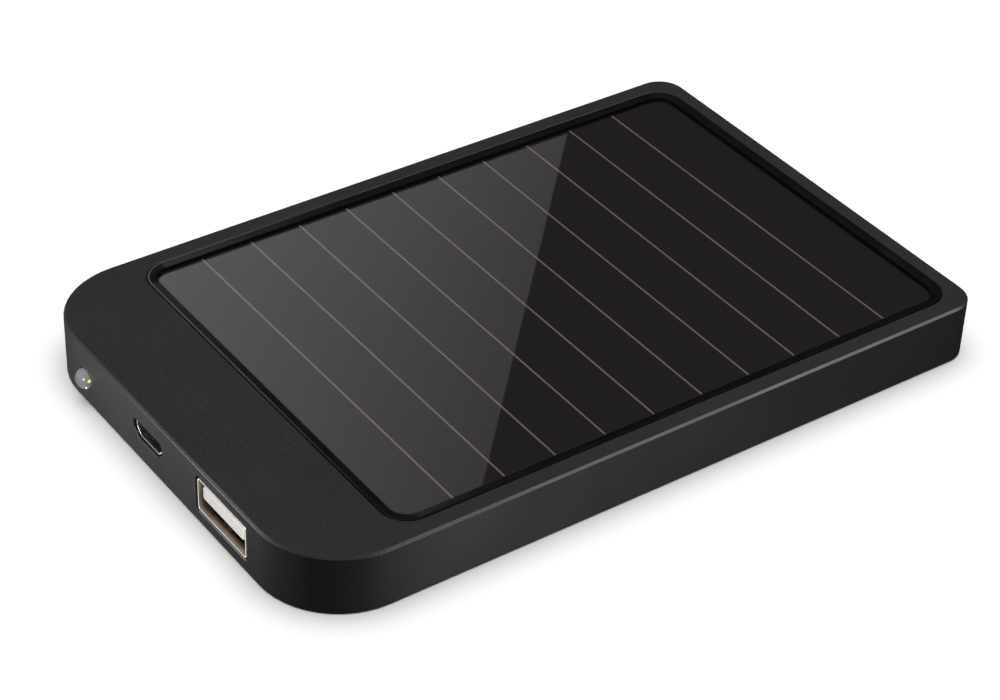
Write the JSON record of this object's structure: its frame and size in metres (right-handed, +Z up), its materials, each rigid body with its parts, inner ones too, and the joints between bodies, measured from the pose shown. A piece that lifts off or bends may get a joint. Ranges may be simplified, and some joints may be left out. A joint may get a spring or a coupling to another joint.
{
  "type": "solar phone charger",
  "caption": "Flat pocket power bank with a glass thin-film solar panel on top, two charging sockets and an indicator light in one end face.",
  "frame": {"origin": "centre of the flat underside of the housing", "axes": "+X runs along the length, away from the end face that holds the sockets; +Z is up, out of the solar panel; +Y is the side of the indicator light"},
  "size_m": [0.1215, 0.078, 0.01],
  "materials": {
    "housing_plastic": "matt, fine moulded grain",
    "cover_plastic": "matt, fine moulded grain",
    "bezel_gloss": "polished black",
    "panel_glass": "clear float glass",
    "cell_film": "dark thin film seen through glass",
    "scribe_film": "pinkish brown laser-scribed line",
    "bus_bar_silver": "printed silver",
    "back_coat": "sprayed protective coat",
    "foam_tape": "double-sided foam tape",
    "solder": "bright solder",
    "lead_red": "soft insulation",
    "lead_black": "soft insulation",
    "board_laminate": "green solder mask",
    "screw_steel": "zinc plated",
    "socket_shell": "nickel plated sheet",
    "socket_insulator": "white moulded insulator",
    "contact_gold": "gold flash",
    "micro_shell": "tin plated sheet",
    "micro_insulator": "black moulded insulator",
    "led_epoxy": "clear cast epoxy",
    "led_lead_steel": "tinned steel",
    "led_phosphor": "yellow-green die",
    "chip_epoxy": "moulded epoxy",
    "ferrite": "sintered ferrite",
    "enamelled_wire": "enamelled copper wire",
    "tantalum_case": "moulded yellow case",
    "capacitor_ceramic": "tan ceramic chip",
    "resistor_body": "black glazed chip",
    "pouch_foil": "laminated foil",
    "tab_nickel": "nickel strip",
    "guard_laminate": "blue solder mask",
    "polyimide_tape": "amber tape",
    "foam_grey": "closed-cell foam",
    "adhesive_white": "double-sided tape"
  },
  "bodies": {
    "root": {"upper_housing": "housing_plastic", "back_cover": "cover_plastic", "panel_bezel": "bezel_gloss", "panel_glass": "panel_glass", "cell_strips": "cell_film", "cell_scribe_lines": "scribe_film", "panel_bus_bars": "bus_bar_silver", "panel_back_coat": "back_coat", "panel_adhesive": "foam_tape", "panel_solder_pads": "solder", "panel_lead_red": "lead_red", "panel_lead_black": "lead_black", "circuit_board": "board_laminate", "board_screws": "screw_steel", "board_solder_pads": "solder", "usb_a_shell": "socket_shell", "usb_a_tongue": "socket_insulator", "usb_a_contacts": "contact_gold", "usb_a_rear_block": "socket_insulator", "micro_usb_shell": "micro_shell", "micro_usb_tongue": "micro_insulator", "micro_usb_contacts": "contact_gold", "led_lens": "led_epoxy", "led_lead_frame": "led_lead_steel", "led_die": "led_phosphor", "charge_chip": "chip_epoxy", "boost_chip": "chip_epoxy", "chip_pins": "solder", "inductor_core": "ferrite", "inductor_winding": "enamelled_wire", "blocking_diode": "chip_epoxy", "output_capacitor": "tantalum_case", "ceramic_capacitors": "capacitor_ceramic", "resistors": "resistor_body", "battery_pouch": "pouch_foil", "battery_tabs": "tab_nickel", "battery_guard_board": "guard_laminate", "battery_guard_parts": "chip_epoxy", "battery_tape": "polyimide_tape", "battery_foam_pad": "foam_grey", "battery_adhesive_strips": "adhesive_white", "battery_lead_red": "lead_red", "battery_lead_black": "lead_black"}
  },
  "joints": []
}
